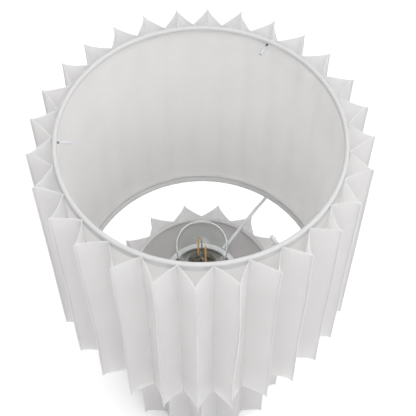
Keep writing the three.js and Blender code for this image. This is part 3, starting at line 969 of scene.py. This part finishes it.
        name = f"{self.name}_{edge.name.lower()}_edge"
        piece = turned(name, rolled(0.0) + rolled(tape)[::-1], self.pleats * 14)
        self.drum_map(piece, outer)
        co = coordinates(piece)
        azimuth = np.arctan2(co[:, 1], co[:, 0])
        radius = np.hypot(co[:, 0], co[:, 1])
        phase = self.rng.uniform(0, FULL_TURN, 4)
        ripple = sum(np.sin(n * azimuth + p) for n, p in zip((61, 83, 127, 151), phase)) / 4
        inside = np.clip((outer - radius) / (outer - inner), 0, 1)
        shift = 0.22 * MM * ripple * inside
        co[:, :2] *= (1 - np.abs(shift) / radius)[:, None]
        co[:, 2] -= edge.value * 0.12 * MM * (1 + ripple)
        swag = self.between_creases(azimuth)
        down = np.clip(edge.value * (level[0] - co[:, 2]) / (high - low - roll), 0, 1)
        band = np.where(radius > outer - 1.2 * tape, down, 0)
        co[:, :2] *= (1 + band * (0.4 * MM * swag + 0.15 * MM * np.abs(ripple)) / radius)[:, None]
        co[:, 2] -= edge.value * band * 1.3 * MM * swag
        set_coordinates(piece, co)
        finish_piece(piece, self.name, Material.EDGE_CLOTH, node)

    def build(self) -> None:
        """Builds and dresses the whole drum."""
        for edge in Edge:
            Material.WHITE_WIRE.dress(bpy.data.objects[f"{self.name}_{edge.name.lower()}_ring"])
            self.build_edge(edge)
        self.build_liner()
        self.build_cloth()
        self.build_stitches()
        self.build_tacks()
        log.info("%s drum: strip %.3f m long, %.3f m high", self.name, self.strip_length, self.height)


# ---------------------------------------------------------------- spiders and pegs


@dataclass
class Spider:
    """Three bent wires from a drum's edge to a hub, each with a weld at its inner end."""

    name: str
    first_turn: float = 55.0
    arms: int = 3
    wire: float = 2.0 * MM

    def ends(self) -> tuple[Vector, Vector]:
        """Reads where an arm starts and ends.

        Returns:
            The first arm's outer and inner ends, each as radius and level.
        """
        node = bpy.data.objects[f"{self.name}_arm_1"]
        co = np.array([v.co for v in node.data.vertices])
        radius = np.hypot(co[:, 0], co[:, 1])
        outer = co[radius > radius.max() - self.wire * 0.6]
        inner = co[radius < radius.min() + self.wire * 0.6]
        return (Vector((radius.max(), (outer[:, 2].max() + outer[:, 2].min()) / 2)),
                Vector((radius.min(), (inner[:, 2].max() + inner[:, 2].min()) / 2)))

    def build(self, bend: float) -> None:
        """Bends and places the arms.

        Args:
            bend: The length of the bend from the drum's edge inwards.
        """
        outer, inner = self.ends()
        knee = outer.x - bend
        pull = bend * 0.5
        for k in range(self.arms):
            name = f"{self.name}_spider_wire_{k + 1}"
            wire = bent_wire(name, [(outer.x, 0, outer.y), (knee, 0, inner.y), (inner.x, 0, inner.y)],
                             [(-pull, 0, 0), (-pull, 0, 0), (-pull * 0.2, 0, 0)], self.wire)
            weld = self.weld(inner)
            piece = joined(name, [wire, weld])
            turned_round(piece, self.first_turn + 360 / self.arms * k)
            finish_piece(piece, self.name, Material.WHITE_WIRE, f"{self.name}_arm_{k + 1}")

    def weld(self, end: Vector) -> bpy.types.Object:
        """Makes the flattened bead of weld where a wire meets its hub.

        Args:
            end: The wire's inner end, as radius and level.

        Returns:
            The bead.
        """
        size = self.wire * 1.25
        bead = primitive("weld", bpy.ops.mesh.primitive_ico_sphere_add, subdivisions=3, radius=1.0,
                         location=(end.x + size * 0.75, 0, end.y), scale=(size * 0.7, size, size * 0.9))
        co = coordinates(bead)
        lump = np.sin(co[:, 0] * 4100) * np.cos(co[:, 1] * 3300 + 1) * 0.1 * MM
        co[:, 2] += lump
        set_coordinates(bead, co)
        return smooth(bead)

    def build_hub(self) -> None:
        """The flat ring at the middle, stamped, with rolled corners."""
        node = f"{self.name}_hub_ring"
        inner, outer = radial_reach(node)
        low, high = span(node)
        outline = softened([(inner, low), (outer, low), (outer, high), (inner, high)], 0.7 * MM, 4)
        finish_piece(turned(f"{self.name}_hub", outline, 120), self.name, Material.WHITE_WIRE, node)


@dataclass
class SupportPegs:
    """Three short wires below the upper edge, each in a clear sleeve, that a diffuser can rest on."""

    first_turn: float = 61.0
    count: int = 3
    wire: float = 1.0 * MM
    sleeve: float = 1.7 * MM
    wall: float = 0.5 * MM
    sleeve_length: float = 11.5 * MM

    def build(self) -> None:
        """Builds the pegs and their sleeves."""
        reaches = [radial_reach(f"peg_{part}_2") for part in ("wire", "sleeve")]
        low, high = span("peg_wire_2")
        level = (low + high) / 2
        for k in range(self.count):
            turn = self.first_turn + 360 / self.count * k
            start, end = reaches[0]
            tip = self.wire * 0.4
            outline = softened([(0, start), (self.wire, start), (self.wire, end), (0, end)], tip)
            rod = turned(f"peg_{k + 1}", outline, 20)
            self.lay(rod, level, turn)
            finish_piece(rod, "shade", Material.BARE_WIRE, f"peg_wire_{k + 1}")
            start = reaches[1][0]
            end = start + self.sleeve_length
            bore = self.sleeve - self.wall
            mouth = self.sleeve * 1.06
            outline = softened([(bore, start), (self.sleeve, start), (mouth, end), (bore, end)], 0.15 * MM)
            tube = turned(f"peg_sleeve_tube_{k + 1}", outline, 28)
            self.lay(tube, level, turn)
            finish_piece(tube, "shade", Material.SLEEVE, f"peg_sleeve_{k + 1}")

    def lay(self, piece: bpy.types.Object, level: float, turn: float) -> None:
        """Lays an upright turned piece along the drum's radius.

        Args:
            piece: The piece, drawn up Z at its distance from the lamp's axis.
            level: The height of its middle line.
            turn: Its direction in degrees from +X.
        """
        co = coordinates(piece)
        set_coordinates(piece, np.stack([co[:, 2], co[:, 0], co[:, 1] + level], axis=1))
        turned_round(piece, turn)


# ---------------------------------------------------------------- lampholder


@dataclass
class Lampholder:
    """A moulded screw lampholder with a flanged skirt, a ribbed ring nut and the shade's carrier disc."""

    corner: float = 0.6 * MM
    ribs: int = 48
    gap: float = 0.3 * MM
    shoulder_width: float = 3.4 * MM
    shoulder_thick: float = 3 * MM
    plain_skirt: float = 9.6 * MM
    thread_pitch: float = 2.2 * MM
    thread_crest: float = 0.28 * MM
    disc_thick: float = 2 * MM

    def build(self) -> None:
        """Builds and dresses the lampholder's pieces."""
        self.build_body()
        self.build_cap()
        self.build_carrier()
        self.build_ring_nut()
        Material.CERAMIC.dress(bpy.data.objects["holder_insert"])
        for node in ("holder_contact", "holder_screw_shell"):
            Material.BRASS.dress(bpy.data.objects[node])

    def build_body(self) -> None:
        """The skirt, with a moulded outside thread over its shoulder."""
        bore, shoulder = radial_reach("holder_body")
        low, high = span("holder_body")
        radius = shoulder - self.shoulder_width
        shoulder_high = span("shade_carrier")[0] - self.gap
        shoulder_low = shoulder_high - self.shoulder_thick
        thread_low = shoulder_high + self.plain_skirt
        thread: Outline = []
        rise = self.thread_pitch / 6
        steps = int((high - 1.5 * MM - thread_low) / rise)
        for n in range(steps + 1):
            dip = self.thread_crest * (0.5 - 0.5 * math.cos(n * math.pi / 3))
            thread.append((radius - dip, thread_low + n * rise))
        outline = softened([(bore, low), (radius, low), (radius, shoulder_low), (shoulder, shoulder_low),
                            (shoulder, shoulder_high), (radius, shoulder_high)], self.corner)
        outline += thread + [(radius - 1 * MM, high), (bore, high)]
        finish_piece(turned("holder_skirt", outline, 128), "stand", Material.PHENOLIC, "holder_body")

    def build_cap(self) -> None:
        """The domed cap below the skirt."""
        hole, radius = radial_reach("holder_cap")
        low, high = span("holder_cap")
        wall, middle = 1.6 * MM, (low + high) / 2
        base = radius * 0.7
        outline = softened([(hole, low), (base, low), (radius, middle), (radius, high),
                            (radius - wall, high), (radius - wall, middle), (base - wall / 2, low + wall),
                            (hole, low + wall)], 1.2 * MM, 4)
        finish_piece(turned("holder_dome", outline, 96), "stand", Material.PHENOLIC, "holder_cap")

    def build_carrier(self) -> None:
        """The disc under the shade's hub ring, with a raised lip that centres it."""
        hole, radius = radial_reach("shade_carrier")
        low, high = span("shade_carrier")
        thick = self.disc_thick
        lip = radial_reach("shade_hub_ring")[0] - 2 * self.gap
        top = low + thick
        outline = softened([(hole, low), (radius, low), (radius, top), (lip, top), (lip, high),
                            (lip - thick, high), (lip - thick, top), (hole, top)], self.corner)
        # Its dark phenolic is painted shade: the disc stands in for the shadow deep down through the hub
        # ring.
        finish_piece(turned("shade_carrier_disc", outline, 120), "stand", Material.PHENOLIC, "shade_carrier")

    def build_ring_nut(self) -> None:
        """The ring nut, with grip ribs round its outside."""
        hole, radius = radial_reach("holder_ring_nut")
        low, high = span("holder_ring_nut")
        outline = softened([(hole, low), (radius, low), (radius, high), (hole, high)], 0.9 * MM, 4)
        piece = turned("ring_nut", outline, self.ribs * 8)
        co = coordinates(piece)
        azimuth, distance = np.arctan2(co[:, 1], co[:, 0]), np.hypot(co[:, 0], co[:, 1])
        wave = np.clip(1.6 * np.cos(self.ribs * azimuth) - 0.2, -1, 1)
        depth = np.where(distance > radius - 1.2 * MM, 0.35 * MM * (1 - wave), 0)
        co[:, :2] *= (1 - depth / distance)[:, None]
        set_coordinates(piece, co)
        finish_piece(piece, "ring_nut", Material.PHENOLIC, "holder_ring_nut")


# ---------------------------------------------------------------- bulb


@dataclass
class Bulb:
    """A clear bulb with upright filament rods on a glass stem."""

    glass: float = 0.4 * MM
    neck: float = 12.3 * MM
    filament_turn: float = 128.5
    thread_pitch: float = 3.6 * MM
    thread_depth: float = 0.75 * MM

    def envelope(self, inset: float, low: float) -> Outline:
        """The glass's outline from the crown to the neck.

        Args:
            inset: How far inside the outer face.
            low: The neck's lowest level.

        Returns:
            The outline, from the axis down.
        """
        neck_low, crown = span("bulb_glass")
        widest = radial_reach("bulb_glass")[1]
        centre = crown - widest
        radius = widest - inset
        neck = self.neck - inset
        shoulder = math.radians(120)
        points = [(radius * math.sin(a), centre + radius * math.cos(a)) for a in np.linspace(0, shoulder, 29)]
        points[0] = (0.0, centre + radius)
        start = Vector(points[-1])
        end = Vector((neck, neck_low + 10 * MM))
        pull = (start.y - end.y) / 2
        first = start + Vector((math.cos(shoulder), -math.sin(shoulder))) * pull
        second = end + Vector((0, pull))
        for t in np.linspace(0, 1, 17)[1:]:
            left = 1 - t
            point = start * left ** 3 + first * 3 * t * left ** 2 + second * 3 * t * t * left + end * t ** 3
            points.append((point.x, point.y))
        return points + [(neck, low)]

    def build(self) -> None:
        """Builds and dresses the bulb's pieces."""
        low = span("bulb_glass")[0]
        skin = self.envelope(0.0, low) + self.envelope(self.glass, low)[::-1]
        finish_piece(turned("bulb_envelope", skin, 96), "bulb", Material.GLASS, "bulb_glass")
        self.build_cap()
        self.build_mount()
        for number in (1, 2):
            self.build_filament(number)
        Material.BLACK.dress(bpy.data.objects["bulb_insulator"])
        Material.NICKEL.dress(bpy.data.objects["bulb_end_contact"])

    def build_cap(self) -> None:
        """The screw cap: a thin shell with a rolled helical thread, closed in towards its end."""
        radius = radial_reach("bulb_screw_cap")[1]
        low, high = span("bulb_screw_cap")
        wall = 0.4 * MM
        levels = np.arange(low + 3.5 * MM, high - 1e-6, self.thread_pitch / 10)
        outside = [(8.2 * MM, low), (9.4 * MM, low + 0.3 * MM)]
        outside += [(radius, level) for level in levels] + [(radius, high)]
        inside = [(r - wall, level + (wall if k < 2 else 0)) for k, (r, level) in enumerate(outside)]
        piece = turned("bulb_cap_shell", outside + inside[::-1], 96)
        co = coordinates(piece)
        azimuth, distance = np.arctan2(co[:, 1], co[:, 0]), np.hypot(co[:, 0], co[:, 1])
        wave = 0.5 - 0.5 * np.cos(FULL_TURN * co[:, 2] / self.thread_pitch - azimuth)
        run_in = np.clip((co[:, 2] - low - 3 * MM) / (2 * MM), 0, 1)
        run_out = np.clip((high - 4 * MM - co[:, 2]) / (2 * MM), 0, 1)
        depth = self.thread_depth * wave * run_in * run_out
        co[:, :2] *= (1 - depth / distance)[:, None]
        set_coordinates(piece, co)
        finish_piece(piece, "bulb", Material.NICKEL, "bulb_screw_cap")

    def build_mount(self) -> None:
        """The glass stem with its pressed top, the rod above it and the wires that join the filaments."""
        low, high = span("bulb_stem")
        foot = radial_reach("bulb_stem")[1]
        outline = [(0, low), (foot, low), (foot * 0.96, low + 1.6 * MM), (5.6 * MM, low + 5 * MM),
                   (3.7 * MM, low + 9 * MM), (3.1 * MM, low + 15 * MM), (2.9 * MM, high - 9 * MM),
                   (3.4 * MM, high - 6 * MM), (2.4 * MM, high - 3 * MM), (1.1 * MM, high - 1 * MM), (0, high)]
        stem = turned("bulb_glass_stem", softened(outline, 1.6 * MM, 4), 48)
        finish_piece(stem, "bulb", Material.GLASS, "bulb_stem")
        low, high = span("bulb_support_rod")
        thick = 0.8 * MM
        outline = softened([(0, low), (thick, low), (thick, high), (0, high)], 0.3 * MM)
        rod = turned("bulb_glass_rod", outline, 24)
        finish_piece(rod, "bulb", Material.GLASS, "bulb_support_rod")
        for node in ("filament_bridge_lower", "filament_bridge_upper"):
            self.build_bridge(node)

    def build_bridge(self, node: str) -> None:
        """A fine wire that joins one end of the two filaments, arched a little over the glass rod.

        Args:
            node: The CAD bar it stands for.
        """
        low, high = span(node)
        reach = radial_reach(node)[1] - 1.2 * MM
        level, wire = (low + high) / 2, 0.34 * MM
        rise = 0.6 * MM
        bridge = bent_wire(node + "_wire", [(-reach, 0, level), (0, 0, level + rise), (reach, 0, level)],
                           [(1 * MM, 0, 0), (3 * MM, 0, 0), (1 * MM, 0, 0)], wire)
        turned_round(bridge, self.filament_turn)
        finish_piece(bridge, "bulb", Material.NICKEL, node)

    def build_filament(self, number: int) -> None:
        """One coated rod with bare ends.

        Args:
            number: Which of the two.
        """
        node = f"filament_{number}"
        low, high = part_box(node)
        middle = (low + high) / 2
        radius, bare, fine = 1 * MM, 1.6 * MM, 0.35 * MM
        start, end = low.z + bare, high.z - bare
        coated = softened([(0, start), (radius, start), (radius, end), (0, end)], 0.6 * MM, 4)
        coat = turned(node + "_coat", coated, 24)
        pins = softened([(0, low.z), (fine, low.z), (fine, high.z), (0, high.z)], 0.1 * MM)
        pin = turned(node + "_pins", pins, 16)
        for piece in (coat, pin):
            set_coordinates(piece, coordinates(piece) + np.array([middle.x, middle.y, 0]))
        finish_piece(coat, "bulb", Material.AMBER, node)
        finish_piece(pin, "bulb", Material.NICKEL)


# ---------------------------------------------------------------- stand


@dataclass
class Stand:
    """The weighted plate on its felt, and the tube, nuts and gland that join it to the lampholder."""

    rod_hole: float = 5.3 * MM
    recess: float = 12 * MM
    recess_depth: float = 7 * MM

    def build(self) -> None:
        """Builds and dresses the stand's pieces."""
        self.build_plate()
        self.build_felt()
        for node in ("tie_rod", "stem", "base_nut", "holder_lock_nut", "stand_hub_washer"):
            Material.ZINC.dress(bpy.data.objects[node])
        Material.BLACK.dress(bpy.data.objects["cord_gland"])

    def build_plate(self) -> None:
        """The cast plate, with a broad soft corner and a recess for its nut."""
        hole, recess = self.rod_hole, self.recess
        radius = radial_reach("base_plate")[1]
        low, high = span("base_plate")
        recess_high = low + self.recess_depth
        outline = softened([(recess, low), (radius, low), (radius, high), (hole, high), (hole, recess_high),
                            (recess, recess_high)], 1.8 * MM, 4)
        finish_piece(turned("weighted_plate", outline, 128), "stand", Material.IRON, "base_plate")

    def build_felt(self) -> None:
        """The felt disc, with a soft edge."""
        radius = radial_reach("felt_pad")[1]
        low, high = span("felt_pad")
        half = radius * 0.5
        outline = softened([(0, low), (half, low), (radius, low), (radius, high), (half, high), (0, high)],
                           0.5 * MM, 3)
        finish_piece(turned("felt_disc", outline, 120), "stand", Material.FELT, "felt_pad")


# ---------------------------------------------------------------- studio


@dataclass
class Studio:
    """A pale floor, soft light from all round and the camera."""

    ring_radius: float = 140 * MM
    camera_side: float = 0.049
    camera_back: float = 4.141
    camera_up: float = 5.560
    elevation: float = 57.37
    lens_mm: float = 88.41
    horizon: float = 0.4
    zenith: float = 1.4
    brightest: Point = (0.36, -0.05, 0.93)
    fill_watts: float = 0.19

    def build(self, top: float) -> None:
        """Sets the studio up.

        Args:
            top: The level of the shade's upper edge, which the camera is placed from.
        """
        scene = bpy.context.scene
        scene.view_settings.view_transform = "Standard"
        world = bpy.data.worlds.new("soft_room")
        world.use_nodes = True
        background = world.node_tree.nodes["Background"]
        background.inputs["Color"].default_value = linear("#ffffff")
        direction = add_node(world.node_tree, "ShaderNodeTexCoord").outputs["Generated"]
        height = add_node(world.node_tree, "ShaderNodeVectorMath", {"operation": "DOT_PRODUCT"}, i0=direction,
                          i1=self.brightest)
        glow = add_node(world.node_tree, "ShaderNodeMapRange", None, Value=height.outputs["Value"],
                        To_Min=self.horizon, To_Max=self.zenith)
        world.node_tree.links.new(glow.outputs["Result"], background.inputs["Strength"])
        scene.world = world
        self.light("overhead", (0.6, -0.4, 3.0), 1.6, 24.0)
        self.light("front", (0.2, -2.3, 2.1), 1.6, 15.0)
        self.inside_fill(top)
        self.lay_floor()
        self.place_camera(top)

    def inside_fill(self, top: float) -> None:
        """Adds the light that the pale room throws back into the shade.

        Args:
            top: The level of the shade's upper edge.
        """
        glow = bpy.data.lights.new("inside_fill", "POINT")
        glow.energy = self.fill_watts
        glow.shadow_soft_size = 80 * MM
        holder = bpy.data.objects.new("inside_fill", glow)
        bpy.context.scene.collection.objects.link(holder)
        holder.location = (0, 0, top - 100 * MM)
        holder.visible_camera = False
        holder.visible_glossy = False
        holder.visible_transmission = False

    def lay_floor(self) -> None:
        """Lays the floor, with a trace of its own light, as an overlit white board has."""
        floor = primitive("floor", bpy.ops.mesh.primitive_plane_add, size=16.0)
        material, tree, shader = new_material("matt_white_floor", Roughness=0.9, Specular_IOR_Level=0.1,
                                              Emission_Color=linear("#ffffff"), Emission_Strength=0.08)
        grain = add_node(tree, "ShaderNodeTexNoise", None, Scale=40.0, Detail=2.0)
        tone = add_node(tree, "ShaderNodeMix", {"data_type": "RGBA"}, Factor=grain.outputs["Fac"],
                        i6=linear("#fbfbfb"), i7=linear("#f8f8f8"))
        tree.links.new(tone.outputs["Result"], shader.inputs["Base Color"])
        floor.data.materials.append(material)

    def place_camera(self, top: float) -> None:
        """Places the camera by the shade's upper ring.

        Args:
            top: The level of the shade's upper edge.
        """
        scene = bpy.context.scene
        camera = bpy.data.objects.new("camera", bpy.data.cameras.new("camera"))
        scene.collection.objects.link(camera)
        camera.data.sensor_width = 36.0
        camera.data.lens = self.lens_mm
        camera.location = (self.camera_side * self.ring_radius, -self.camera_back * self.ring_radius,
                           top + self.camera_up * self.ring_radius)
        camera.rotation_euler = (math.radians(90 - self.elevation), 0, 0)
        scene.camera = camera

    def light(self, name: str, place: Point, size: float, watts: float) -> None:
        """Adds one soft square light that looks at the shade.

        Args:
            name: The light's name.
            place: Where it hangs.
            size: The length of its side.
            watts: Its power.
        """
        lamp = bpy.data.lights.new(name, "AREA")
        lamp.size = size
        lamp.energy = watts
        holder = bpy.data.objects.new(name, lamp)
        bpy.context.scene.collection.objects.link(holder)
        holder.location = place
        aim = Vector((0, 0, 0.35)) - Vector(place)
        holder.rotation_euler = aim.to_track_quat("-Z", "Y").to_euler()


def main() -> None:
    """Builds the lamp around its frame."""
    logging.basicConfig(level=logging.INFO, format="%(name)s: %(message)s")
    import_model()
    Studio().build(span("shade_pleats")[1])
    Stand().build()
    PleatedDrum("stand", pleats=15, turn=6.6, seam_turn=200.0).build()
    stand_bend = radial_reach("stand_arm_1")[1] - radial_reach("stand_hub_washer")[1] - 8 * MM
    Spider("stand").build(stand_bend)
    Lampholder().build()
    Bulb().build()
    PleatedDrum("shade", pleats=28, turn=10.1, seam_turn=108.75,
                crowding=((1, 2.6, -14.0), (2, 1.0, 128.0))).build()
    shade_spider = Spider("shade")
    shade_spider.build(30 * MM)
    shade_spider.build_hub()
    SupportPegs().build()


if __name__ == "__main__":
    main()
